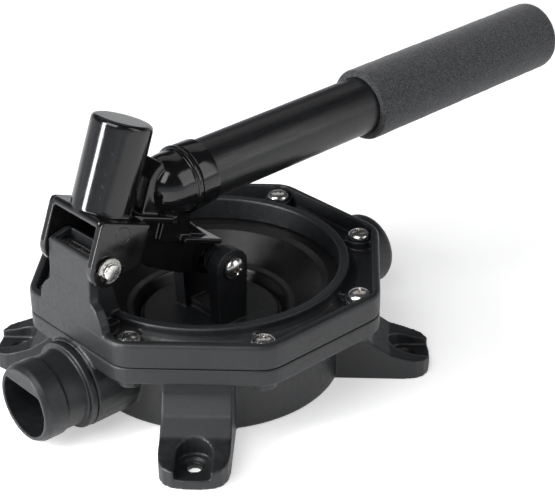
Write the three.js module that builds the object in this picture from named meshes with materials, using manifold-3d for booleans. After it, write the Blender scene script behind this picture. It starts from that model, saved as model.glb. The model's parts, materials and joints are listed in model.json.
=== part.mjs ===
// A hand-operated diaphragm bilge pump: a cast body with two in-line hose spigots and four feet,
// a bolted clamp ring that carries the fulcrum post, a diaphragm pulled by a rocking lever,
// and a removable tubular handle with a foam grip.
// Millimetres, +Z up, origin at the centre of the body's underside, +X along the handle and the flow.
import * as THREE from "three";
import { mergeVertices } from "three/addons/utils/BufferGeometryUtils.js";
import Module from "manifold-3d";

const wasm = await Module();
wasm.setup();

// ---- driving dimensions ----
const GAP = 0.3; // clearance between two pieces that touch
const ROUND = 40; // sides of a large round face
const SMALL_ROUND = 14; // sides of a pin or a hole

const BOWL_R = 67; // outside of the pump chamber
const CHAMBER_R = 62.5;
const FLOOR = 4;
const APOTHEM = 86; // centre to flat of the octagonal flange and ring
const CORNER = 16; // corner rounding of the octagon
const FLANGE_Z = [39.5, 47.85];
const BEAD_R = 73; // recess for the diaphragm's bead
const BEAD_Z = 45.3;

const RING_Z = [48.15, 61];
const RING_WALL = 4;
const CHANNEL_Z = 52; // floor of the channel between the rim and the outer wall
const RIM_R = [66, 70.5];
const RIM_TOP = 60.5;
const SCREW_CIRCLE = 82;
const SCREW_COUNT = 8;
const SCREW_BOSS_R = 7.5;
const SCREW_SEAT = 56.5;
const SCREW_R = 2.6;
const SCREW_HEAD_R = 6;

const FOOT_TIP = 113;
const FOOT_WIDTH = 34;
const FOOT_HOLE_CIRCLE = 100;
const FOOT_SEAT = 5;

const PORT_Z = 24; // height of the flow axis
const PORT_R = 17;
const SOCKET_R = 18.3; // bore that takes the spigot's sleeve
const SOCKET_X = [72.5, 88]; // shoulder and mouth of that bore
const SPIGOT_END = 116;
const SPIGOT_R = 19;
const BARB_R = 19.8;
const SPIGOT_BORE = 16.5;
const BORE_FLAT = 10; // the bore is D-shaped, with its flat this far above the axis
const FLAP_R = 15.2;
const FLAP_FLAT = 7.4;

const FULCRUM = new THREE.Vector3(-77, 0, 90.5);
const FULCRUM_PIN_R = 4;
const POST_HALF = 16;
const CHEEK_Y = [16.5, 20.5];
const LEVER_TILT = 21; // degrees nose down with the diaphragm at the bottom of its stroke

const LINK_Z = 61.3; // height of the link pin above the base, straight over the diaphragm's centre
const LINK_R = 3;
const LINK_ARM = 82.3; // fulcrum to link pin, along the lever
const LINK_SLOT = [76.7, 82.7]; // where the pin slides in the lever's eye
const EAR_Y = [10, 18];
const EAR_R = 10;
const PLATE_Z = 30; // top of the plate that the clevis stands on

const STUB_X = 5.2;
const STUB_R = 14.75;
const STUB_TOP = 66.3;
const HANDLE_AT = new THREE.Vector3(50.5, 0, 39.75); // mouth of the handle socket, in the lever's frame
const HANDLE_RISE = 22.4; // degrees between the lever and the handle
const TUBE_R = 15.3;
const GRIP_R = 19.3;
const GRIP_SPAN = [121.5, 264]; // along the handle, from the mouth of its socket

// ---- looks ----
const LOOKS = {
  moulding: { color: 0x1b1c1e, roughness: 0.55, metalness: 0 },
  gloss: { color: 0x111214, roughness: 0.15, metalness: 0 },
  tube: { color: 0x191a1c, roughness: 0.35, metalness: 0 },
  foam: { color: 0x2e3032, roughness: 0.95, metalness: 0 },
  rubber: { color: 0x141516, roughness: 0.7, metalness: 0 },
  steel: { color: 0xc4c4c0, roughness: 0.25, metalness: 1 },
};

// ---- solids ----
const v2 = (x, y) => new THREE.Vector2(x, y);
const radians = THREE.MathUtils.degToRad;

// A closed three.js geometry as a solid with its faces turned outward.
function solid(geometry) {
  const bare = geometry.clone();
  bare.deleteAttribute("normal");
  bare.deleteAttribute("uv");
  const merged = mergeVertices(bare, 1e-4);
  const index = merged.index.array;
  const triVerts = [];
  for (let i = 0; i < index.length; i += 3) {
    const [a, b, c] = [index[i], index[i + 1], index[i + 2]];
    if (a !== b && b !== c && c !== a) triVerts.push(a, b, c);
  }
  const build = (triangles) =>
    new wasm.Manifold(
      new wasm.Mesh({
        numProp: 3,
        vertProperties: merged.attributes.position.array,
        triVerts: new Uint32Array(triangles),
      }),
    );
  const made = build(triVerts);
  return made.volume() < 0 ? build(triVerts.reverse()) : made;
}

const join = (first, ...rest) => rest.reduce((whole, piece) => whole.add(piece), first);
const cut = (first, ...rest) => rest.reduce((whole, piece) => whole.subtract(piece), first);

// Axes of an extrusion: which way the outline's x, its y and the depth point.
const ALONG_X = [new THREE.Vector3(0, 1, 0), new THREE.Vector3(0, 0, 1), new THREE.Vector3(1, 0, 0)];
const ALONG_Y = [new THREE.Vector3(1, 0, 0), new THREE.Vector3(0, 0, 1), new THREE.Vector3(0, -1, 0)];
const ALONG_Z = [new THREE.Vector3(1, 0, 0), new THREE.Vector3(0, 1, 0), new THREE.Vector3(0, 0, 1)];

function extrudeGeometry(shape, axes, from, to, curveSegments = 4) {
  const options = { depth: to - from, bevelEnabled: false, curveSegments };
  const geometry = new THREE.ExtrudeGeometry(shape, options);
  geometry.applyMatrix4(new THREE.Matrix4().makeBasis(...axes));
  const start = axes === ALONG_Y ? to : from;
  const shift = new THREE.Vector3().addScaledVector(axes[2], axes === ALONG_Y ? -start : start);
  return geometry.translate(shift.x, shift.y, shift.z);
}

const extruded = (...args) => solid(extrudeGeometry(...args));

// A solid of revolution about Z from a profile of [radius, height] pairs.
function latheGeometry(profile, segments = ROUND) {
  const points = profile.map(([r, h]) => v2(r, h));
  return new THREE.LatheGeometry(points, segments).rotateX(Math.PI / 2);
}

const turned = (profile, segments) => solid(latheGeometry(profile, segments));
const closed = (profile) => [...profile, profile[0]];

function turnedX(profile, z = PORT_Z, segments = 28) {
  return solid(latheGeometry(profile, segments).rotateY(Math.PI / 2).translate(0, 0, z));
}

function rod(r, from, to, segments = SMALL_ROUND) {
  const geometry = new THREE.CylinderGeometry(r, r, to - from, segments);
  return geometry.translate(0, (from + to) / 2, 0);
}

const rodY = (r, from, to, x = 0, z = 0, segments) => solid(rod(r, from, to, segments).translate(x, 0, z));
const rodX = (r, from, to, z = PORT_Z, segments = 28) =>
  solid(rod(r, from, to, segments).rotateZ(-Math.PI / 2).translate(0, 0, z));
const rodZ = (r, from, to, x = 0, y = 0, segments) =>
  solid(rod(r, from, to, segments).rotateX(Math.PI / 2).translate(x, y, 0));

function box(x, y, z) {
  const geometry = new THREE.BoxGeometry(x[1] - x[0], y[1] - y[0], z[1] - z[0]);
  return solid(geometry.translate((x[0] + x[1]) / 2, (y[0] + y[1]) / 2, (z[0] + z[1]) / 2));
}

// An outline through the corners given, each rounded to the radius.
function rounded(corners, radius) {
  const shape = new THREE.Shape();
  corners.forEach((corner, i) => {
    const before = corners[(i + corners.length - 1) % corners.length];
    const after = corners[(i + 1) % corners.length];
    const toBefore = before.clone().sub(corner);
    const toAfter = after.clone().sub(corner);
    const half = Math.acos(toBefore.dot(toAfter) / (toBefore.length() * toAfter.length())) / 2;
    const back = Math.min(radius / Math.tan(half), toBefore.length() * 0.49, toAfter.length() * 0.49);
    const enter = corner.clone().addScaledVector(toBefore.normalize(), back);
    const leave = corner.clone().addScaledVector(toAfter.normalize(), back);
    if (i) shape.lineTo(enter.x, enter.y);
    else shape.moveTo(enter.x, enter.y);
    shape.quadraticCurveTo(corner.x, corner.y, leave.x, leave.y);
  });
  shape.closePath();
  return shape;
}

const polygon = (...corners) => new THREE.Shape(corners.map(([x, y]) => v2(x, y)));

function octagon(apothem, radius) {
  const reach = apothem / Math.cos(Math.PI / SCREW_COUNT);
  const corners = screwAngles().map((angle) => v2(reach * Math.cos(angle), reach * Math.sin(angle)));
  return rounded(corners, radius);
}

function screwAngles() {
  return Array.from({ length: SCREW_COUNT }, (_, i) => ((i + 0.5) * 2 * Math.PI) / SCREW_COUNT);
}

const onCircle = (angle, r) => [r * Math.cos(angle), r * Math.sin(angle)];

// The D-shaped section of a port: a circle of radius r cut off by a flat above its centre.
function portShape(r, flat) {
  const half = Math.asin(flat / r);
  const shape = new THREE.Shape();
  shape.absarc(0, PORT_Z, r, Math.PI - half, half + 2 * Math.PI, false);
  shape.closePath();
  return shape;
}

// ---- pieces: the body and what is fixed to it ----
function foot(angle) {
  const side = new THREE.Shape();
  side.moveTo(58, 0);
  side.lineTo(FOOT_TIP, 0);
  side.lineTo(FOOT_TIP, 9);
  side.lineTo(104, 10.5);
  side.quadraticCurveTo(78, 15, 73, FLANGE_Z[0] + 1);
  side.lineTo(58, FLANGE_Z[0] + 1);
  side.closePath();
  const half = FOOT_WIDTH / 2;
  const plan = rounded([v2(50, -half), v2(FOOT_TIP, -half), v2(FOOT_TIP, half), v2(50, half)], 13);
  const pocket = new THREE.Shape();
  pocket.absarc(FOOT_HOLE_CIRCLE, 0, half / 2, Math.PI / 2, 1.5 * Math.PI, false);
  pocket.lineTo(FOOT_TIP + 5, -half / 2);
  pocket.lineTo(FOOT_TIP + 5, half / 2);
  pocket.closePath();
  const turn = (geometry) => solid(geometry.rotateZ(angle));
  const blank = turn(extrudeGeometry(side, ALONG_Y, -half, half));
  const outline = turn(extrudeGeometry(plan, ALONG_Z, -1, 60));
  const relief = turn(extrudeGeometry(pocket, ALONG_Z, FOOT_SEAT, 60));
  const [x, y] = onCircle(angle, FOOT_HOLE_CIRCLE);
  return cut(
    blank.intersect(outline),
    relief,
    rodZ(3.5, -1, 10, x, y),
    rodZ(5.6, FOOT_SEAT - 1.5, 10, x, y),
  );
}

function pumpBody() {
  const feet = [45, 135, 225, 315].map((azimuth) => foot(radians(azimuth)));
  const bosses = screwAngles().map((angle) =>
    rodZ(6.5, 34.5, FLANGE_Z[0] + 1, ...onCircle(angle, SCREW_CIRCLE)),
  );
  const outside = join(
    turned([[0, 0], [BOWL_R - 1.5, 0], [BOWL_R, 1.5], [BOWL_R, FLANGE_Z[0] + 1], [0, FLANGE_Z[0] + 1]]),
    extruded(octagon(APOTHEM, CORNER), ALONG_Z, ...FLANGE_Z),
    rodX(22.5, -SOCKET_X[1], SOCKET_X[1]),
    ...feet,
    ...bosses,
  );
  const socket = closed([[0, 50], [PORT_R, 50], [PORT_R, SOCKET_X[0]], [SOCKET_R, SOCKET_X[0]],
    [SOCKET_R, SOCKET_X[1] - 2], [20.8, SOCKET_X[1] - 2], [20.8, 95], [0, 95]]);
  const mirrored = socket.map(([r, x]) => [r, -x]);
  const chamber = turned([[0, FLOOR], [CHAMBER_R - 6, FLOOR], [CHAMBER_R - 1.8, FLOOR + 1.8],
    [CHAMBER_R, FLOOR + 6], [CHAMBER_R, BEAD_Z], [BEAD_R, BEAD_Z], [BEAD_R, 60], [0, 60]]);
  const holes = screwAngles().map((angle) =>
    rodZ(SCREW_R + GAP, 30, 60, ...onCircle(angle, SCREW_CIRCLE), 12),
  );
  return cut(outside, chamber, turnedX(socket), turnedX(mirrored), ...holes);
}

function post() {
  const side = new THREE.Shape();
  side.moveTo(-APOTHEM + 0.2, RING_Z[0]);
  side.lineTo(-APOTHEM + 0.2, RING_Z[0] + 12);
  side.lineTo(-84.3, 94);
  side.quadraticCurveTo(-84.1, 96.5, -82, 96.6);
  side.lineTo(-74, 98.6);
  side.quadraticCurveTo(-69, 98, -68.4, 92);
  side.lineTo(-69, 84);
  side.quadraticCurveTo(-67.5, 69, -RIM_R[0] + 1.5, RIM_TOP);
  side.lineTo(-RIM_R[0] + 1.5, RING_Z[0]);
  side.closePath();
  const face = new THREE.Shape();
  face.moveTo(-26, RING_Z[0]);
  face.lineTo(26, RING_Z[0]);
  face.lineTo(25, 60);
  face.quadraticCurveTo(23.5, 70, 18, 73);
  face.quadraticCurveTo(POST_HALF, 74, POST_HALF, 78);
  face.lineTo(-POST_HALF, 78);
  face.quadraticCurveTo(-POST_HALF, 74, -18, 73);
  face.quadraticCurveTo(-23.5, 70, -25, 60);
  face.closePath();
  const wall = polygon([-APOTHEM + 0.2, RING_Z[0]], [-APOTHEM + 0.2, RING_Z[0] + 12], [-85.2, 80],
    [-80.5, 80], [-80.5, RING_Z[0]]);
  return join(
    extruded(side, ALONG_Y, -POST_HALF, POST_HALF),
    extruded(face, ALONG_X, -90, -70).intersect(extruded(wall, ALONG_Y, -30, 30)),
  );
}

function clampRing() {
  const [low, top] = RING_Z;
  const bevelled = new THREE.ExtrudeGeometry(octagon(APOTHEM - 2, CORNER - 2), {
    depth: top - low,
    bevelThickness: 2,
    bevelSize: 2,
    bevelSegments: 2,
    curveSegments: 4,
  });
  const outside = solid(bevelled.translate(0, 0, low - 2)).intersect(box([-99, 99], [-99, 99], [low, 99]));
  const channel = cut(
    extruded(octagon(APOTHEM - RING_WALL, CORNER - RING_WALL), ALONG_Z, CHANNEL_Z, 80),
    turned([[0, 40], [78, 40], [78, CHANNEL_Z], [74.6, CHANNEL_Z + 0.6], [72.2, CHANNEL_Z + 2.4],
      [71, CHANNEL_Z + 5], [RIM_R[1], RIM_TOP - 1], [RIM_R[1] - 1, RIM_TOP], [0, RIM_TOP]]),
  );
  const opening = turned([[0, 40], [RIM_R[0], 40], [RIM_R[0], RIM_TOP - 1], [RIM_R[0] + 1, RIM_TOP],
    [RIM_R[0] + 1, 80], [0, 80]]);
  const lid = turned([[0, RIM_TOP], [74, RIM_TOP], [74, 70], [0, 70]]);
  const bosses = screwAngles().map((angle) => {
    const rib = box([RIM_R[0] + 2, SCREW_CIRCLE - 5], [-0.8, 0.8], [low, SCREW_SEAT]);
    const turnedRib = rib.rotate([0, 0, THREE.MathUtils.radToDeg(angle)]);
    return rodZ(SCREW_BOSS_R, low, SCREW_SEAT, ...onCircle(angle, SCREW_CIRCLE)).add(turnedRib);
  });
  const ring = join(cut(outside, channel, opening, lid), ...bosses);
  const counterbores = screwAngles().map((angle) =>
    join(
      rodZ(SCREW_HEAD_R + 0.7, SCREW_SEAT, 80, ...onCircle(angle, SCREW_CIRCLE)),
      rodZ(SCREW_R + GAP, 40, 80, ...onCircle(angle, SCREW_CIRCLE), 12),
    ),
  );
  return cut(
    join(ring, post()),
    ...counterbores,
    rodY(FULCRUM_PIN_R + GAP, -30, 30, FULCRUM.x, FULCRUM.z),
    box([-81.8, -72.6], [-12.5, 12.5], [82, 110]),
    box([-79.5, -60], [POST_HALF - 5, POST_HALF + 1], [CHANNEL_Z + 6, 80]),
    box([-79.5, -60], [-POST_HALF - 1, -POST_HALF + 5], [CHANNEL_Z + 6, 80]),
  );
}

function clampScrew() {
  const dome = [[0, 37], [SCREW_R, 37], [SCREW_R, SCREW_SEAT + GAP], [SCREW_HEAD_R, SCREW_SEAT + GAP],
    [SCREW_HEAD_R, SCREW_SEAT + 1.3], [5.1, SCREW_SEAT + 2.6], [3.4, SCREW_SEAT + 3.4], [0, SCREW_SEAT + 3.8]];
  const slot = (x, y) => box([-x, x], [-y, y], [SCREW_SEAT + 1.8, SCREW_SEAT + 5]);
  return cut(turned(dome, SMALL_ROUND), slot(2.9, 0.65), slot(0.65, 2.9));
}

// A hose spigot pointing along +X: sleeve, collar, hose length and barb, with a D-shaped bore.
function spigot(direction) {
  const sleeveEnd = SOCKET_X[0] + 3.1;
  const collar = SOCKET_X[1] + GAP;
  const outline = [[0, sleeveEnd], [SOCKET_R - GAP, sleeveEnd], [SOCKET_R - GAP, collar], [21.5, collar],
    [22, collar + 0.6], [22, collar + 3], [21.4, collar + 3.6], [SPIGOT_R, collar + 3.6],
    [SPIGOT_R, SPIGOT_END - 13], [BARB_R, SPIGOT_END - 12.2], [BARB_R, SPIGOT_END - 3],
    [SPIGOT_R - 0.8, SPIGOT_END], [0, SPIGOT_END]];
  const outside = turnedX(outline.map(([r, x]) => [r, x * direction]));
  return cut(outside, extruded(portShape(SPIGOT_BORE, BORE_FLAT), ALONG_X, -130, 130, 16));
}

function sealRing(direction) {
  const geometry = new THREE.TorusGeometry(19.6, 0.85, 6, 24).rotateY(Math.PI / 2);
  return solid(geometry.translate(direction * (SOCKET_X[1] - 1), 0, PORT_Z));
}

// The seat is the plate that a flap closes on; near and far are its two faces along X.
function valveSeat(near, far) {
  return cut(
    rodX(SOCKET_R - GAP, near, far),
    extruded(portShape(13.2, FLAP_FLAT - 1.4), ALONG_X, -130, 130, 12),
  );
}

function valveFlap(near, far) {
  const leaf = extruded(portShape(FLAP_R, FLAP_FLAT), ALONG_X, near, far, 14);
  return leaf.add(box([near, far + 1], [-10, 10], [PORT_Z + FLAP_FLAT - 2.4, PORT_Z + FLAP_FLAT + 0.6]));
}

// ---- pieces: the diaphragm and its link ----
const LINK_SCREWS = [20, 200].map((azimuth) => onCircle(radians(azimuth), 25));

function diaphragm() {
  const skin = turned([[0, 25], [37.4, 25], [40.6, 31.4], [43.6, 32.6], [57.2, 44.2], [59.6, 45.6],
    [61.4, BEAD_Z + GAP], [BEAD_R - GAP, BEAD_Z + GAP], [BEAD_R - GAP, 47.85], [63, 47.85],
    [60, 48], [56.6, 46.6], [43, 34.8], [39.6, 33.6], [36.8, 27], [0, 27]]);
  return cut(skin, ...LINK_SCREWS.map(([x, y]) => rodZ(2.4, 20, 30, x, y, 12)));
}

function clevis() {
  const ear = new THREE.Shape();
  ear.moveTo(-8.6, PLATE_Z - 1);
  ear.lineTo(8.6, PLATE_Z - 1);
  ear.lineTo(EAR_R, LINK_Z);
  ear.absarc(0, LINK_Z, EAR_R, 0, Math.PI, false);
  ear.closePath();
  const plate = turned([[0, 27 + GAP], [34.4, 27 + GAP], [35.4, 28.3], [35.4, 29.2], [34.4, PLATE_Z],
    [0, PLATE_Z]]);
  const whole = join(
    plate,
    extruded(ear, ALONG_Y, -EAR_Y[1], -EAR_Y[0]),
    extruded(ear, ALONG_Y, EAR_Y[0], EAR_Y[1]),
    box([-5, 5], [-EAR_Y[1], EAR_Y[1]], [PLATE_Z - 1, PLATE_Z + 4]),
  );
  return cut(
    whole,
    rodY(LINK_R + GAP, -30, 30, 0, LINK_Z),
    ...LINK_SCREWS.map(([x, y]) => rodZ(2.4, 20, 35, x, y, 12)),
  );
}

function backingPlate() {
  const dome = turned([[0, 8], [16, 8.6], [25, 11], [31, 15], [34, 20], [34.4, 23.6], [33.4, 25 - GAP],
    [0, 25 - GAP]]);
  return cut(dome, ...LINK_SCREWS.map(([x, y]) => rodZ(2.4, 17, 30, x, y, 12)));
}

function plateScrew([x, y]) {
  const profile = [[0, 18], [2, 18], [2, PLATE_Z + GAP], [4, PLATE_Z + GAP], [3.6, PLATE_Z + 1.8],
    [2, PLATE_Z + 2.6], [0, PLATE_Z + 2.8]];
  const geometry = latheGeometry(profile, 16).translate(x, y, 0);
  const slot = box([x - 2, x + 2], [y - 0.5, y + 0.5], [PLATE_Z + 1.6, PLATE_Z + 4]);
  return cut(solid(geometry), slot);
}

// A piece that turns about the link pin's axis, from a profile of [radius, y] pairs.
function aboutLink(profile, segments = SMALL_ROUND) {
  const points = profile.map(([r, y]) => v2(r, y));
  return solid(new THREE.LatheGeometry(points, segments).translate(0, 0, LINK_Z));
}

function linkScrew() {
  const under = -EAR_Y[1] - GAP;
  const body = aboutLink([[0, 23], [LINK_R, 23], [LINK_R, under], [5.8, under], [5.8, under - 1.4],
    [4.8, under - 2.8], [2.6, under - 3.6], [0, under - 3.8]].reverse());
  const slot = (x, z) => box([-x, x], [under - 5, under - 2], [LINK_Z - z, LINK_Z + z]);
  return cut(body, slot(2.8, 0.6), slot(0.6, 2.8));
}

function linkNut() {
  const from = EAR_Y[1] + GAP;
  return cut(rodY(5.8, from, from + 4, 0, LINK_Z, 6), rodY(LINK_R + GAP, 0, 30, 0, LINK_Z));
}

// A ribbed spacer bush that keeps the lever's eye central between the clevis ears.
function linkBush(side) {
  const profile = [[LINK_R + GAP, 4.4]];
  const ribs = 3;
  const pitch = 1.75;
  for (let i = 0; i < ribs; i += 1) {
    const start = 4.4 + i * pitch;
    profile.push([7.8, start], [7.8, start + 1], [7, start + 1], [7, start + pitch]);
  }
  profile.push([LINK_R + GAP, 4.4 + ribs * pitch]);
  return aboutLink(closed(profile.map(([r, y]) => [r, y * side])));
}

// ---- pieces: the lever, in its own frame with the origin on the fulcrum axis ----
function inHandleFrame(geometry) {
  return solid(geometry.rotateY(-radians(HANDLE_RISE)).translate(HANDLE_AT.x, HANDLE_AT.y, HANDLE_AT.z));
}

// Geometry of revolution along the handle, from [radius, distance] pairs.
const handleTurned = (profile, segments = 24) => latheGeometry(profile, segments).rotateY(Math.PI / 2);

function lever() {
  const cheek = new THREE.Shape();
  cheek.moveTo(-9.5, 0);
  cheek.absarc(0, 0, 9.5, Math.PI, 2 * Math.PI - 0.3, false);
  cheek.lineTo(17, 0.5);
  cheek.quadraticCurveTo(19.5, 0.5, 19.5, 3);
  cheek.lineTo(19.5, 19.5);
  cheek.quadraticCurveTo(19.5, 22.5, 16.5, 22.5);
  cheek.lineTo(-6.5, 22.5);
  cheek.quadraticCurveTo(-9.5, 22.5, -9.5, 19.5);
  cheek.closePath();
  const stub = [[0, 20], [STUB_R, 20], [STUB_R, STUB_TOP - 2.6], [STUB_R - 0.8, STUB_TOP - 0.8],
    [STUB_R - 2.6, STUB_TOP], [0, STUB_TOP]];
  const saddle = rounded([v2(-9.5, 18.5), v2(19.5, 18.5), v2(19.5, 22.5), v2(-9.5, 22.5)], 1.5);
  const web = rounded([v2(17, 20), v2(58, 20), v2(LINK_ARM - 2, 9), v2(LINK_ARM - 2, -7), v2(62, -8),
    v2(40, -5), v2(17, 4)], 3);
  const plate = rounded([v2(12, -5), v2(24, -8.5), v2(44, -8.5), v2(50, -5.5), v2(57, -5.5), v2(57, 5.5),
    v2(50, 5.5), v2(44, 8.5), v2(24, 8.5), v2(12, 5)], 1.5);
  const gusset = polygon([27, 18], [27, 40], [31, 46], [48, 46], [48, 18]);
  const gussetEdge = polygon([25.3, 18], [25.3, 40], [27, 44.5], [30, 48.4], [31.5, 48], [36.5, 20], [36.5, 18]);
  const elbow = join(
    inHandleFrame(new THREE.SphereGeometry(15.6, 24, 12).translate(-8, 0, 0)),
    inHandleFrame(handleTurned([[0, -8], [15.6, -8], [15.6, -2.9], [17.2, -2.6], [17.2, -0.6], [16.7, 0],
      [0, 0]])),
  );
  const eye = join(
    rodY(8.2, -4, 4, LINK_SLOT[0], 0, 24),
    rodY(8.2, -4, 4, LINK_SLOT[1], 0, 24),
    box(LINK_SLOT, [-4, 4], [-8.2, 8.2]),
  );
  const slotHalf = LINK_R + 1.3;
  const slot = join(
    rodY(slotHalf, -10, 10, LINK_SLOT[0], 0),
    rodY(slotHalf, -10, 10, LINK_SLOT[1], 0),
    box(LINK_SLOT, [-10, 10], [-slotHalf, slotHalf]),
  );
  const whole = join(
    extruded(cheek, ALONG_Y, -CHEEK_Y[1], -CHEEK_Y[0]),
    extruded(cheek, ALONG_Y, CHEEK_Y[0], CHEEK_Y[1]),
    extruded(saddle, ALONG_Y, -CHEEK_Y[0] - 1, CHEEK_Y[0] + 1),
    box([15.5, 19.5], [-CHEEK_Y[0] - 1, CHEEK_Y[0] + 1], [9, 20]),
    solid(latheGeometry(stub, 28).translate(STUB_X, 0, 0)),
    extruded(plate, ALONG_Z, 19, 22.3),
    extruded(web, ALONG_Y, -4, 4),
    box([54, 79], [-9.5, 9.5], [9.8, 12.4]),
    extruded(rounded([v2(40, 9), v2(61.5, 9), v2(52, 36), v2(40, 36)], 2), ALONG_Y, -6, 6),
    extruded(gusset, ALONG_Y, -2.5, 2.5),
    extruded(gussetEdge, ALONG_Y, -6, 6),
    elbow,
    eye,
  );
  const seat = inHandleFrame(handleTurned([[0, -2], [TUBE_R + GAP, -2], [TUBE_R + GAP, 5], [0, 5]]));
  const spigotInTube = inHandleFrame(handleTurned([[0, -4], [13, -4], [13, 14], [0, 14]]));
  return join(cut(whole, slot, rodY(FULCRUM_PIN_R + GAP, -30, 30), seat), spigotInTube);
}

function fulcrumPin() {
  const half = 24.4;
  const groove = [CHEEK_Y[1] + 0.7, CHEEK_Y[1] + 2.3];
  const side = [[0, -half], [FULCRUM_PIN_R - 0.6, -half], [FULCRUM_PIN_R, -half + 0.6],
    [FULCRUM_PIN_R, -groove[1]], [3, -groove[1]], [3, -groove[0]], [FULCRUM_PIN_R, -groove[0]]];
  const other = side.map(([r, y]) => [r, -y]).reverse();
  const points = [...side, ...other].map(([r, y]) => v2(r, y));
  return solid(new THREE.LatheGeometry(points, SMALL_ROUND).translate(FULCRUM.x, 0, FULCRUM.z));
}

// A C-shaped spring clip that sits in the pin's groove, open toward -X and down.
function retainingClip(side) {
  const shape = new THREE.Shape();
  const open = radians(36);
  const mouth = radians(215);
  shape.absarc(0, 0, 6.2, mouth + open, mouth + 2 * Math.PI - open, false);
  shape.absarc(0, 0, 3.3, mouth + 2 * Math.PI - open, mouth + open, true);
  shape.closePath();
  const from = CHEEK_Y[1] + 1;
  const span = side > 0 ? [from, from + 1] : [-from - 1, -from];
  const geometry = extrudeGeometry(shape, ALONG_Y, ...span, 14);
  return solid(geometry.translate(FULCRUM.x, 0, FULCRUM.z));
}

// ---- pieces: the handle, in its own frame with +X along the tube ----
const handlePiece = (profile) => solid(handleTurned(profile));
const tubeEnd = GRIP_SPAN[1] - 5;

const handleTube = () =>
  handlePiece(closed([[13.3, -1.7], [TUBE_R, -1.7], [TUBE_R, tubeEnd], [13.3, tubeEnd]]));

const handleCollar = () =>
  handlePiece(closed([[TUBE_R + GAP, 0.5], [16.3, 0.5], [16.9, 1.1], [16.9, 9.8], [16.3, 10.5],
    [TUBE_R + GAP, 10.5]]));

const endPlug = () =>
  handlePiece([[0, tubeEnd - 14], [13, tubeEnd - 14], [13, tubeEnd + GAP], [TUBE_R, tubeEnd + GAP],
    [TUBE_R, tubeEnd + 2], [0, tubeEnd + 2]]);

function foamGrip() {
  const [near, far] = GRIP_SPAN;
  return handlePiece([[TUBE_R + GAP, near], [GRIP_R - 1.6, near], [GRIP_R - 0.4, near + 0.6],
    [GRIP_R, near + 2], [GRIP_R, far - 4], [GRIP_R - 0.9, far - 1.6], [GRIP_R - 3.6, far - 0.2], [0, far],
    [0, tubeEnd + 2 + GAP], [TUBE_R + GAP, tubeEnd + 2 + GAP], [TUBE_R + GAP, near]]);
}

// ---- assembly ----
function piece(name, made, look) {
  const { vertProperties, triVerts } = made.getMesh();
  const geometry = new THREE.BufferGeometry();
  geometry.setAttribute("position", new THREE.BufferAttribute(vertProperties, 3));
  geometry.setIndex(new THREE.BufferAttribute(triVerts, 1));
  geometry.computeVertexNormals();
  const mesh = new THREE.Mesh(geometry, new THREE.MeshStandardMaterial(LOOKS[look]));
  mesh.name = name;
  return mesh;
}

function clampScrews() {
  return screwAngles().map((angle, i) => {
    const mesh = piece(`clamp_screw_${i + 1}`, clampScrew(), "steel");
    const [x, y] = onCircle(angle, SCREW_CIRCLE);
    mesh.position.set(x, y, 0);
    mesh.rotation.z = angle;
    return mesh;
  });
}

const seatNear = SOCKET_X[0] + GAP;
const seatFar = seatNear + 2.4;

const pump = new THREE.Group();
pump.add(
  piece("pump_body", pumpBody(), "moulding"),
  piece("clamp_ring", clampRing(), "moulding"),
  ...clampScrews(),
  piece("inlet_spigot", spigot(-1), "moulding"),
  piece("outlet_spigot", spigot(1), "moulding"),
  piece("inlet_o_ring", sealRing(-1), "rubber"),
  piece("outlet_o_ring", sealRing(1), "rubber"),
  piece("inlet_valve_seat", valveSeat(-seatFar, -seatNear), "moulding"),
  piece("outlet_valve_seat", valveSeat(seatNear, seatFar), "moulding"),
  piece("inlet_flap", valveFlap(-seatNear + GAP, -seatNear + GAP + 2), "rubber"),
  piece("outlet_flap", valveFlap(seatFar + GAP, seatFar + GAP + 2), "rubber"),
  piece("diaphragm", diaphragm(), "rubber"),
  piece("diaphragm_clevis", clevis(), "moulding"),
  piece("backing_plate", backingPlate(), "moulding"),
  piece("plate_screw_1", plateScrew(LINK_SCREWS[0]), "steel"),
  piece("plate_screw_2", plateScrew(LINK_SCREWS[1]), "steel"),
  piece("link_screw", linkScrew(), "steel"),
  piece("link_nut", linkNut(), "steel"),
  piece("link_bush_near", linkBush(-1), "moulding"),
  piece("link_bush_far", linkBush(1), "moulding"),
  piece("fulcrum_pin", fulcrumPin(), "steel"),
  piece("retaining_clip_near", retainingClip(-1), "steel"),
  piece("retaining_clip_far", retainingClip(1), "steel"),
);

const leverGroup = new THREE.Group();
leverGroup.position.copy(FULCRUM);
leverGroup.rotation.y = radians(LEVER_TILT);
leverGroup.add(piece("lever", lever(), "gloss"));

const handleGroup = new THREE.Group();
handleGroup.position.copy(HANDLE_AT);
handleGroup.rotation.y = -radians(HANDLE_RISE);
handleGroup.add(
  piece("handle_tube", handleTube(), "tube"),
  piece("handle_collar", handleCollar(), "gloss"),
  piece("handle_end_plug", endPlug(), "moulding"),
  piece("foam_grip", foamGrip(), "foam"),
);
leverGroup.add(handleGroup);
pump.add(leverGroup);

export default pump;
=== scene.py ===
"""The bilge pump's looks: moulded black plastic, stainless fasteners, rubber diaphragm and foam grip."""

import json
import math

import bmesh
import bpy
from mathutils import Matrix, Vector


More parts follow.
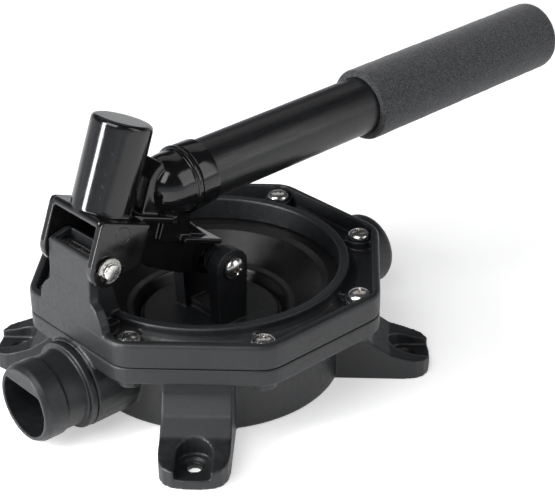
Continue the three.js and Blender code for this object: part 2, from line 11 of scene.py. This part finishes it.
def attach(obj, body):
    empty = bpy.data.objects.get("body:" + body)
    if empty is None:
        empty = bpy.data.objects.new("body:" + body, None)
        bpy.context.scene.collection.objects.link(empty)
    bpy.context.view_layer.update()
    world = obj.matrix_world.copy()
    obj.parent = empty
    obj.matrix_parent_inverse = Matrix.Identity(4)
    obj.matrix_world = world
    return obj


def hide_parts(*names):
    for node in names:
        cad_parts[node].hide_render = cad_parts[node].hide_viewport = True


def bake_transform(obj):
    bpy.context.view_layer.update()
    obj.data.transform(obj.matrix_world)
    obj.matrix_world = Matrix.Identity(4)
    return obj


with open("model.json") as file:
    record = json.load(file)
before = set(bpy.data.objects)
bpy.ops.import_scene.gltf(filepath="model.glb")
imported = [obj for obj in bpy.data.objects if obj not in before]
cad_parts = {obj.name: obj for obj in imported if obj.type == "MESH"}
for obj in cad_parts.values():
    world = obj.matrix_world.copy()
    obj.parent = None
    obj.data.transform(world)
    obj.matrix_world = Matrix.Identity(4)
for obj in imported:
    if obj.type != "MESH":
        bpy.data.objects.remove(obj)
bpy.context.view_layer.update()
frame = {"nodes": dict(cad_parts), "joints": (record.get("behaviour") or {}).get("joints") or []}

MM = 0.001
NODES = frame["nodes"]
JOINTS = {joint["name"]: joint for joint in frame["joints"]}

# Frames of the lever and of its handle, as the CAD has them.
FULCRUM = Vector(JOINTS["lever_pivot"]["pos_m"])
LEVER_TILT = math.radians(21)
HANDLE_RISE = math.radians(22.4)
HANDLE_AT = Vector((50.5, 0, 39.75)) * MM
LEVER = Matrix.Translation(FULCRUM) @ Matrix.Rotation(LEVER_TILT, 4, "Y")
HANDLE = LEVER @ Matrix.Translation(HANDLE_AT) @ Matrix.Rotation(-HANDLE_RISE, 4, "Y")
ALONG_X = Matrix.Rotation(math.pi / 2, 4, "Y")  # turns a profile's axis from Z to X
ALONG_Y = Matrix.Rotation(-math.pi / 2, 4, "X")  # from Z to Y

# Sizes that the looks share with the CAD, in millimetres.
PORT_Z = 24  # height of the flow axis
SCREW_CIRCLE = 82  # radius of the circle of clamp screws
SCREW_SEAT = 56.5  # height of the seats under their heads
LINK_Z = 61.3  # height of the link screw
LINK_SEAT_Y = 18.3  # its head's underside, from the middle
STUB_X = 5.2
STUB_R = 14.78
STUB_TOP = 66.35
ELBOW_R = 15.65
ELBOW_X = -8  # centre of the elbow's dome along the handle
TUBE_BORE = 13.3
TUBE_R = 15.3
TUBE_SPAN = (-1.7, 259)
SLEEVE_BORE = 15.6  # of the collar and of the grip
COLLAR_R = 16.9
COLLAR_SPAN = (0.5, 10.5)
GRIP_R = 19.3
GRIP_SPAN = (121.5, 264)
GRIP_FLOOR = 261.3  # where the grip's bore ends

# Detail of the meshes.
FINE = 96  # sides of a large round piece
FINEST = 128  # sides of a piece whose outline fills the view
RECESS_HALF = 2.7  # half length of a screw's cross
RECESS_WIDTH = 0.62  # half width of its arms


# ---- materials ----
class Shader:
    """A Principled material with helpers for procedural detail."""

    def __init__(self, name, **values):
        self.material = bpy.data.materials.new(name)
        self.material.use_nodes = True
        self.tree = self.material.node_tree
        self.bsdf = self.tree.nodes["Principled BSDF"]
        for socket, value in values.items():
            self.bsdf.inputs[socket.replace("_", " ")].default_value = value
        self.coords = self.tree.nodes.new("ShaderNodeTexCoord").outputs["Object"]

    def node(self, kind, **inputs):
        made = self.tree.nodes.new(kind)
        for name, value in inputs.items():
            socket = made.inputs[name.replace("_", " ")]
            if isinstance(value, bpy.types.NodeSocket):
                self.tree.links.new(value, socket)
            else:
                socket.default_value = value
        return made

    def link(self, source, target):
        self.tree.links.new(source, target)

    def noise(self, scale, detail=4.0, roughness=0.55):
        made = self.node("ShaderNodeTexNoise", Vector=self.coords, Scale=scale, Detail=detail)
        made.inputs["Roughness"].default_value = roughness
        return made.outputs["Fac"]

    def ramp(self, value, low, high, start=0.0, end=1.0):
        """value mapped from start..end onto low..high."""
        made = self.node("ShaderNodeMapRange", Value=value)
        made.inputs["From Min"].default_value = start
        made.inputs["From Max"].default_value = end
        made.inputs["To Min"].default_value = low
        made.inputs["To Max"].default_value = high
        return made.outputs["Result"]

    def colours(self, value, first, second, start=0.3, end=0.7):
        made = self.node("ShaderNodeValToRGB", Fac=value)
        stops = made.color_ramp.elements
        stops[0].position, stops[1].position = start, end
        stops[0].color, stops[1].color = (*first, 1), (*second, 1)
        return made.outputs["Color"]

    def mix(self, factor, first, second):
        made = self.tree.nodes.new("ShaderNodeMix")
        made.data_type = "RGBA"
        self.link(factor, made.inputs["Factor"])
        for socket, value in (("A", first), ("B", second)):
            target = next(s for s in made.inputs if s.name == socket and s.type == "RGBA")
            if isinstance(value, bpy.types.NodeSocket):
                self.link(value, target)
            else:
                target.default_value = (*value, 1)
        return next(s for s in made.outputs if s.type == "RGBA")

    def bump(self, height, distance, strength=1.0, under=None):
        made = self.node("ShaderNodeBump", Height=height, Distance=distance, Strength=strength)
        if under:
            self.link(under, made.inputs["Normal"])
        return made.outputs["Normal"]

    def edges(self, low=0.52, high=0.6):
        """1 on outer edges, 0 elsewhere; the mouldings use it to paint their edges paler as a highlight."""
        point = self.tree.nodes.new("ShaderNodeNewGeometry").outputs["Pointiness"]
        return self.ramp(point, 0.0, 1.0, low, high)

    def finish(self, colour=None, roughness=None, normal=None):
        for socket, value in (("Base Color", colour), ("Roughness", roughness), ("Normal", normal)):
            if value is not None:
                self.link(value, self.bsdf.inputs[socket])
        return self.material


def moulding_material():
    """Black glass-filled nylon: a fine grain, faint flow marks, and a painted highlight on its outer edges.
    """
    s = Shader("moulding", IOR=1.5)
    mottle = s.noise(55.0, 5.0)
    base = s.colours(mottle, (0.0052, 0.0058, 0.0069), (0.0082, 0.0091, 0.0107))
    # painted highlight: the outer edges are painted paler
    colour = s.mix(s.edges(), base, (0.02, 0.0207, 0.0225))
    grain = s.noise(2600.0, 2.0)
    flow = s.noise(240.0, 3.0)
    normal = s.bump(grain, 0.00004, 0.5, under=s.bump(flow, 0.00008, 0.35))
    return s.finish(colour, s.ramp(s.noise(420.0, 4.0), 0.4, 0.56, 0.3, 0.7), normal)


def gloss_material():
    """The lever's polished nylon, with a slight ripple in its reflections."""
    s = Shader("gloss_moulding", IOR=1.52)
    base = s.colours(s.noise(40.0), (0.0045, 0.0046, 0.005), (0.0068, 0.007, 0.0076))
    ripple = s.bump(s.noise(90.0, 2.0), 0.00009, 0.5)
    # painted highlight: the outer edges are painted paler, as in the moulding
    return s.finish(
        s.mix(s.edges(0.54, 0.66), base, (0.02, 0.0205, 0.022)),
        s.ramp(s.noise(160.0, 5.0), 0.08, 0.17, 0.3, 0.7),
        ripple,
    )


def tube_material():
    """Satin extruded tube with faint scuffs along its length."""
    s = Shader("tube", IOR=1.5)
    stretched = s.node("ShaderNodeMapping", Vector=s.coords, Scale=(0.06, 1.0, 1.0)).outputs["Vector"]
    streaks = s.node("ShaderNodeTexNoise", Vector=stretched, Scale=900.0, Detail=3.0).outputs["Fac"]
    base = s.colours(s.noise(60.0), (0.006, 0.0062, 0.0068), (0.009, 0.0093, 0.0102))
    return s.finish(base, s.ramp(streaks, 0.26, 0.4, 0.3, 0.7), s.bump(streaks, 0.00002, 0.4))


def foam_material():
    """Closed-cell foam: fine open pores, a pale dusty bloom."""
    s = Shader("foam", Sheen_Weight=0.25, Sheen_Roughness=0.5, IOR=1.4)
    cells = s.node("ShaderNodeTexVoronoi", Vector=s.coords, Scale=1500.0).outputs["Distance"]
    speck = s.noise(1050.0, 3.0, 0.75)
    clouds = s.noise(70.0, 4.0)
    base = s.colours(speck, (0.006, 0.0063, 0.0072), (0.062, 0.064, 0.069), 0.42, 0.62)
    colour = s.mix(s.ramp(clouds, 0.0, 0.15, 0.35, 0.7), base, (0.026, 0.0265, 0.029))
    normal = s.bump(cells, 0.0003, 0.6, under=s.bump(speck, 0.0002, 0.5))
    return s.finish(colour, s.ramp(speck, 0.82, 0.97, 0.3, 0.7), normal)


def rubber_material():
    """The diaphragm's moulded rubber, with a bloom that comes and goes."""
    s = Shader("rubber", IOR=1.5)
    base = s.colours(s.noise(45.0, 5.0), (0.0055, 0.0056, 0.006), (0.0105, 0.0107, 0.0115))
    return s.finish(
        base,
        s.ramp(s.noise(120.0, 4.0), 0.26, 0.42, 0.3, 0.7),
        s.bump(s.noise(1400.0, 2.0), 0.00004, 0.5),
    )


def steel_material():
    """Bright stainless steel, tumbled rather than mirror-finished, darker and warmer in its hollows."""
    s = Shader("steel", Metallic=1.0)
    bright = s.colours(s.noise(700.0, 4.0), (0.62, 0.61, 0.58), (0.82, 0.81, 0.78))
    # 1 in the hollows, where the colour turns darker and warmer
    hollow = s.edges(0.5, 0.4)
    colour = s.mix(hollow, bright, (0.23, 0.15, 0.09))
    return s.finish(colour, s.ramp(s.noise(1100.0, 4.0), 0.14, 0.3, 0.3, 0.7),
                    s.bump(s.noise(1600.0, 3.0), 0.00003, 0.5))


MATERIALS = {
    "moulding": moulding_material(),
    "gloss_moulding": gloss_material(),
    "tube": tube_material(),
    "foam": foam_material(),
    "rubber": rubber_material(),
    "steel": steel_material(),
}


def paint(obj, slot):
    obj.data.materials.clear()
    obj.data.materials.append(MATERIALS[slot])


# ---- mesh helpers ----
def fillet(profile, radius, steps=4):
    """The profile with each inner corner rounded to the radius, or as far as its neighbours allow."""
    points = [Vector(p) for p in profile]
    out = [points[0]]
    for before, corner, after in zip(points, points[1:], points[2:]):
        a, b = before - corner, after - corner
        turn = a.angle(b)
        if turn > math.radians(172) or turn < 1e-3:
            out.append(corner)
            continue
        back = min(radius / math.tan(turn / 2), a.length * 0.45, b.length * 0.45)
        start, end = corner + a.normalized() * back, corner + b.normalized() * back
        for i in range(steps + 1):
            t = i / steps
            out.append(start * (1 - t) ** 2 + corner * 2 * t * (1 - t) + end * t**2)
    out.append(points[-1])
    return out


def revolved(profile, matrix=None, sides=FINE, loop=False):
    """A bmesh of revolution about Z from (radius, height) pairs in millimetres."""
    bm = bmesh.new()
    rings = []
    for r, h in profile:
        if r < 1e-6:
            rings.append([bm.verts.new((0, 0, h * MM))])
            continue
        turn = [2 * math.pi * i / sides for i in range(sides)]
        rings.append([bm.verts.new((r * MM * math.cos(t), r * MM * math.sin(t), h * MM)) for t in turn])
    pairs = list(zip(rings, rings[1:])) + ([(rings[-1], rings[0])] if loop else [])
    for low, high in pairs:
        for i in range(sides):
            j = (i + 1) % sides
            corners = [low[i % len(low)], low[j % len(low)], high[j % len(high)], high[i % len(high)]]
            corners = list(dict.fromkeys(corners))
            if len(corners) > 2:
                bm.faces.new(corners)
    bmesh.ops.recalc_face_normals(bm, faces=bm.faces)
    if matrix is not None:
        bmesh.ops.transform(bm, matrix=matrix, verts=bm.verts)
    return bm


def merged(*parts):
    """One bmesh with all the parts in it; the parts are freed."""
    whole = bmesh.new()
    for part in parts:
        mesh = bpy.data.meshes.new("part")
        part.to_mesh(mesh)
        part.free()
        whole.from_mesh(mesh)
        bpy.data.meshes.remove(mesh)
    return whole


def bmesh_of(mesh):
    bm = bmesh.new()
    bm.from_mesh(mesh)
    return bm


def subdivided(profile, step, axial=False):
    """The profile with points added every step or so, counted along its axis only if axial."""
    points = [Vector(p) for p in profile]
    out = []
    for a, b in zip(points, points[1:]):
        distance = abs(b.y - a.y) if axial else (b - a).length
        count = max(1, round(distance / step))
        out += [a.lerp(b, i / count) for i in range(count)]
    return out + [points[-1]]


def object_of(bm, name):
    mesh = bpy.data.meshes.new(name)
    bm.to_mesh(mesh)
    bm.free()
    obj = bpy.data.objects.new(name, mesh)
    bpy.context.scene.collection.objects.link(obj)
    mesh.shade_smooth()
    return obj


def applied(obj):
    """The object's mesh with its modifiers applied."""
    bpy.context.view_layer.update()
    evaluated = obj.evaluated_get(bpy.context.evaluated_depsgraph_get())
    mesh = bpy.data.meshes.new_from_object(evaluated)
    obj.modifiers.clear()
    old, obj.data = obj.data, mesh
    mesh.name = obj.name
    bpy.data.meshes.remove(old)
    return obj


def settle(obj, body, slot, *nodes, angle=40):
    """Paints a finished piece and hands it to its body, if it has one, and the CAD nodes it stands for."""
    obj.data.shade_smooth()
    if angle:
        obj.data.set_sharp_from_angle(angle=math.radians(angle))
    paint(obj, slot)
    if body:
        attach(obj, body)
    if nodes:
        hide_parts(*nodes)
    return obj


def moulded(node, name, body, slot, voxel, extra=(), rounds=6, keep=0.45):
    """The CAD node as a moulding: high-resolution round parts added, then every edge softened."""
    obj = object_of(merged(bmesh_of(NODES[node].data), *extra), name)
    remesh = obj.modifiers.new("remesh", "REMESH")
    remesh.mode = "VOXEL"
    remesh.voxel_size = voxel * MM
    smooth = obj.modifiers.new("smooth", "SMOOTH")
    smooth.factor = 0.5
    smooth.iterations = rounds
    if keep < 1:
        thin = obj.modifiers.new("thin", "DECIMATE")
        thin.ratio = keep
    return settle(applied(obj), body, slot, node, angle=None)


# ---- pieces ----
def pump_body():
    wall = revolved(fillet([(60, 0.2), (67.1, 0.2), (67.1, 40)], 2) + [(60, 40)], loop=True)
    return moulded("pump_body", "body_casting", "base", "moulding", 0.6, [wall])


def hose_tail(end, direction):
    """A spigot whose outside is truly round, with a proud collar and a barb at the mouth."""
    outside = fillet([(17.8, 87), (17.8, 88.3), (22.05, 88.3), (22.05, 91.9), (19.05, 91.9), (19.05, 103.2),
                      (19.85, 103.9), (19.85, 113), (18.25, 116.05), (17.5, 116.05)], 0.6) + [(17.5, 87)]
    outside = [(r, x * direction) for r, x in outside]
    axis = Matrix.Translation((0, 0, PORT_Z * MM)) @ ALONG_X
    return moulded(f"{end}_spigot", f"{end}_hose_tail", "base", "moulding", 0.4,
                   [revolved(outside, axis, loop=True)])


def clamp_ring():
    rim = [(68, 50), (65.8, 50), (65.8, 60.6), (70.6, 60.6), (71, 57), (72.2, 54.4), (74.6, 52.6), (78, 51.9)]
    bowl = revolved(fillet(rim, 1.2) + [(78, 50)], loop=True)
    return moulded("clamp_ring", "clamp_ring_moulding", "base", "moulding", 0.5, [bowl])


def ejector_mark(x, z, y, r=4.2):
    """The raised ring that an ejector pin leaves on a moulding's flat side, in the lever's frame."""
    angles = [math.tau * i / 8 for i in range(8)]
    bead = [(r + 0.3 * math.cos(t), 0.22 * math.sin(t)) for t in angles]
    place = LEVER @ Matrix.Translation((x * MM, y * MM, z * MM)) @ ALONG_Y
    return revolved(bead, place, 48, loop=True)


def lever():
    outline = fillet([(0, 20), (STUB_R, 20), (STUB_R, STUB_TOP), (0, STUB_TOP)], 2.6, 6)
    stub = revolved(outline, LEVER @ Matrix.Translation((STUB_X * MM, 0, 0)))
    angles = [math.pi / 2 * i / 16 for i in range(17)]
    dome = [(ELBOW_R * math.sin(t), ELBOW_X - ELBOW_R * math.cos(t)) for t in angles]
    bead = [(ELBOW_R, -2.95), (17, -2.65), (17.25, -2.3), (17.25, -0.6), (16.8, 0.05), (ELBOW_R, 0.05)]
    spigot = [(ELBOW_R, -2), (13, -2), (13, 14), (0, 14)]
    elbow = revolved(dome + bead + spigot, HANDLE @ ALONG_X)
    return moulded("lever", "lever_moulding", "lever_arm", "gloss_moulding", 0.42, [stub, elbow],
                   rounds=7, keep=0.5)


def ejector_marks():
    both = merged(*(ejector_mark(4, 16.5, y) for y in (-20.5, 20.5)))
    return settle(object_of(both, "ejector_marks"), "lever_arm", "gloss_moulding")


def sleeve(inner, outer, span, radius):
    """A round sleeve about the handle's axis, with its outer edges rounded."""
    start, end = span
    outline = fillet([(inner, start), (outer, start), (outer, end), (inner, end)], radius)
    return revolved(outline, HANDLE @ ALONG_X, loop=True)


def foam_grip():
    start, end = GRIP_SPAN
    outside = fillet([(SLEEVE_BORE, start), (GRIP_R, start), (GRIP_R, end), (0, end)], 3.2, 8)
    profile = subdivided(outside + [(0, GRIP_FLOOR), (SLEEVE_BORE, GRIP_FLOOR)], 1.2, axial=True)
    piece = object_of(revolved(profile, HANDLE @ ALONG_X, FINEST, loop=True), "grip_sleeve")
    clouds = bpy.data.textures.new("foam_waves", "CLOUDS")
    clouds.noise_scale = 0.006
    waves = piece.modifiers.new("waves", "DISPLACE")
    waves.texture = clouds
    waves.strength = 0.00035
    waves.mid_level = 0.5
    settle(applied(piece), "lever_arm", "foam", "foam_grip", angle=60)


def handle():
    tube = object_of(sleeve(TUBE_BORE, TUBE_R, TUBE_SPAN, 0.4), "tube")
    settle(tube, "lever_arm", "tube", "handle_tube")
    collar = object_of(sleeve(SLEEVE_BORE, COLLAR_R, COLLAR_SPAN, 0.5), "collar")
    settle(collar, "lever_arm", "gloss_moulding", "handle_collar")
    foam_grip()


def diaphragm():
    top = [(0, 27), (36.8, 27), (39.6, 33.6), (43, 34.8), (56.6, 46.6), (60, 48), (63, 47.85)]
    bead = [(72.7, 47.85), (72.7, 45.6)]
    bottom = [(63.4, 45.6), (61.4, 45.6), (59.6, 45.6), (57.2, 44.2), (43.6, 32.6), (40.6, 31.4),
              (37.4, 25), (0, 25)]
    profile = fillet(top, 2.2, 6) + bead + fillet(bottom, 1.0, 3)
    piece = object_of(revolved(subdivided(profile, 2.0), sides=FINEST), "rubber_diaphragm")
    settle(piece, None, "rubber", "diaphragm", angle=60)
    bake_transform(piece)


def cross_tool(at):
    """A tapered cross that cuts a screw's recess; at is the matrix from the head's frame."""
    bm = bmesh.new()
    for turn in (0, math.pi / 2):
        corners = []
        for z, long, wide in ((-1.6, 0.45, 0.7), (1.2, 1.12, 1)):
            h, w = RECESS_HALF * long, RECESS_WIDTH * wide
            corners += [bm.verts.new((x * h * MM, y * w * MM, z * MM))
                        for x, y in ((-1, -1), (1, -1), (1, 1), (-1, 1))]
        low, high = corners[:4], corners[4:]
        bm.faces.new(reversed(low))
        bm.faces.new(high)
        for i in range(4):
            j = (i + 1) % 4
            bm.faces.new((low[i], low[j], high[j], high[i]))
        bmesh.ops.rotate(bm, verts=corners, matrix=Matrix.Rotation(turn, 3, "Z"))
    bmesh.ops.transform(bm, matrix=at, verts=bm.verts)
    return object_of(bm, "recess")


def screw(name, seat, radius, height, recess_z, shank):
    """A pan-head screw about Z; its shank is a profile of (radius, height) pairs."""
    angles = [math.pi / 2 * i / 10 for i in range(1, 10)]
    dome = [(radius * math.cos(t), seat + 0.9 + (height - 0.9) * math.sin(t)) for t in angles]
    edge = [(0, seat), (radius - 0.3, seat), (radius, seat + 0.3), (radius, seat + 0.9)]
    head = object_of(revolved(edge + dome + [(0, seat + height)], sides=48), name)
    tool = cross_tool(Matrix.Translation((0, 0, recess_z * MM)))
    cut = head.modifiers.new("recess", "BOOLEAN")
    cut.object = tool
    cut.operation = "DIFFERENCE"
    cut.solver = "EXACT"
    cut.use_self = True
    applied(head)
    bpy.data.objects.remove(tool)
    whole = merged(bmesh_of(head.data), revolved(shank, sides=24))
    whole.to_mesh(head.data)
    whole.free()
    return head


def clamp_screws():
    shank = [(0, 37), (2.3, 37), (2.6, 37.5), (2.6, 57), (0, 57)]
    master = screw("screw", SCREW_SEAT + 0.3, 6, 3.9, 60.2, shank)
    for i in range(8):
        angle = math.radians(22.5 + 45 * i)
        spin = math.radians((37 * i) % 90)  # each screw was driven home at its own angle
        piece = bpy.data.objects.new(f"pan_screw_{i + 1}", master.data.copy())
        bpy.context.scene.collection.objects.link(piece)
        at = Vector((math.cos(angle), math.sin(angle), 0)) * SCREW_CIRCLE * MM
        piece.data.transform(Matrix.Translation(at) @ Matrix.Rotation(spin, 4, "Z"))
        settle(piece, "base", "steel", f"clamp_screw_{i + 1}", angle=35)
    bpy.data.objects.remove(master)


def link_screw():
    shank = [(0, -41.3), (2.7, -41.3), (3, -40.8), (3, 0.2), (0, 0.2)]
    piece = screw("link_bolt", 0, 5.8, 3.8, 3.4, shank)
    at = Matrix.Translation((0, -LINK_SEAT_Y * MM, LINK_Z * MM))
    piece.data.transform(at @ Matrix.Rotation(math.pi / 2, 4, "X"))
    settle(piece, "diaphragm_drive", "steel", "link_screw", angle=35)


def fulcrum_pin():
    half = [(0, -24.4), (3.5, -24.4), (4, -23.8), (4, -22.8), (3, -22.8), (3, -21.2), (4, -21.2)]
    profile = fillet(half + [(r, -y) for r, y in reversed(half)], 0.25, 2)
    place = Matrix.Translation(FULCRUM) @ ALONG_Y
    settle(object_of(revolved(profile, place, 48), "pivot_pin"), "base", "steel", "fulcrum_pin")


def kept_node(node, slot, bevel):
    """A CAD node that stays: painted, smooth-shaded and with its edges broken."""
    obj = NODES[node]
    angle = math.radians(35)
    paint(obj, slot)
    obj.data.shade_smooth()
    obj.data.set_sharp_from_angle(angle=angle)
    if bevel:
        edge = obj.modifiers.new("edge", "BEVEL")
        edge.width = bevel * MM
        edge.segments = 2
        edge.limit_method = "ANGLE"
        edge.angle_limit = angle
        edge.harden_normals = True


pump_body()
clamp_ring()
lever()
ejector_marks()
handle()
diaphragm()
clamp_screws()
link_screw()
fulcrum_pin()
moulded("diaphragm_clevis", "clevis_moulding", "diaphragm_drive", "moulding", 0.4)
hose_tail("inlet", -1)
hose_tail("outlet", 1)
for name in ("inlet_valve_seat", "outlet_valve_seat", "backing_plate", "link_bush_near", "link_bush_far",
             "handle_end_plug"):
    kept_node(name, "moulding", 0.2)
for name in ("inlet_o_ring", "outlet_o_ring", "inlet_flap", "outlet_flap"):
    kept_node(name, "rubber", 0)
for name in ("plate_screw_1", "plate_screw_2", "link_nut", "retaining_clip_near", "retaining_clip_far"):
    kept_node(name, "steel", 0.12)


# ---- stage: floor, light and camera ----
PUMP_MIDDLE = Vector((0, 0, 0.08))
TO_LEFT = Vector((-0.7418, 0.6706, 0))
TO_CAMERA = Vector((-0.6706, -0.7418, 0))


def floor():
    bm = bmesh.new()
    bmesh.ops.create_grid(bm, x_segments=1, y_segments=1, size=8.0)
    obj = object_of(bm, "floor")
    obj.location.z = -0.0002
    s = Shader("floor", Roughness=0.9, Emission_Color=(1, 1, 1, 1), Emission_Strength=0.45)
    s.finish(s.colours(s.noise(3.0), (0.9, 0.9, 0.9), (0.93, 0.93, 0.93)))
    obj.data.materials.append(s.material)


def softbox(name, left, near, up, width, height, power):
    """A rectangular light aimed at the pump, placed as the camera sees it."""
    light = bpy.data.lights.new(name, "AREA")
    light.shape = "RECTANGLE"
    light.size, light.size_y = width, height
    light.energy = power
    obj = bpy.data.objects.new(name, light)
    bpy.context.scene.collection.objects.link(obj)
    offset = TO_LEFT * left + TO_CAMERA * near + Vector((0, 0, up))
    obj.location = PUMP_MIDDLE + offset
    obj.rotation_euler = (-offset).to_track_quat("-Z", "Y").to_euler()


def room():
    world = bpy.data.worlds.new("room")
    bpy.context.scene.world = world
    world.use_nodes = True
    tree = world.node_tree
    direction = tree.nodes.new("ShaderNodeTexCoord").outputs["Generated"]
    height = tree.nodes.new("ShaderNodeSeparateXYZ")
    tree.links.new(direction, height.inputs[0])
    shade = tree.nodes.new("ShaderNodeValToRGB")
    shade.color_ramp.elements[0].position = 0.02
    shade.color_ramp.elements[0].color = (0.9, 0.93, 1, 1)
    shade.color_ramp.elements[1].position = 0.3
    shade.color_ramp.elements[1].color = (0.05, 0.05, 0.055, 1)
    tree.links.new(height.outputs["Z"], shade.inputs["Fac"])
    tree.links.new(shade.outputs["Color"], tree.nodes["Background"].inputs["Color"])
    tree.nodes["Background"].inputs["Strength"].default_value = 0.9


# The camera stands off the inlet's near side and looks down at the bowl.
CAMERA_AT = Vector((-421.7, -516.5, 424.4)) * MM
VIEW = Vector((0.5897, 0.6523, -0.4763)).normalized()
ROLL = math.radians(0.46)
FOCAL_PX = 1500
WIDTH_PX = 555
CENTRE_PX = 275.73  # column that the camera's axis falls on
SENSOR = 36.0


def camera():
    data = bpy.data.cameras.new("camera")
    data.sensor_width = SENSOR
    data.lens = FOCAL_PX / WIDTH_PX * SENSOR
    data.shift_x = (WIDTH_PX / 2 - CENTRE_PX) / WIDTH_PX
    data.clip_start = 0.05
    obj = bpy.data.objects.new("camera", data)
    bpy.context.scene.collection.objects.link(obj)
    turn = Matrix.Rotation(ROLL, 4, VIEW) @ VIEW.to_track_quat("-Z", "Y").to_matrix().to_4x4()
    obj.matrix_world = Matrix.Translation(CAMERA_AT) @ turn
    bpy.context.scene.camera = obj


floor()
room()
camera()
softbox("strip", 0.9, 0.5, 0.35, 0.22, 0.8, 17)
softbox("key", 0.7, 1.1, 1.5, 1.4, 1.4, 26)
softbox("back", 0, -1.6, 1.9, 2.2, 1.2, 4)
softbox("fill", -1.3, 0.5, 0.7, 0.8, 1.2, 6)
bpy.context.scene.view_settings.view_transform = "Standard"
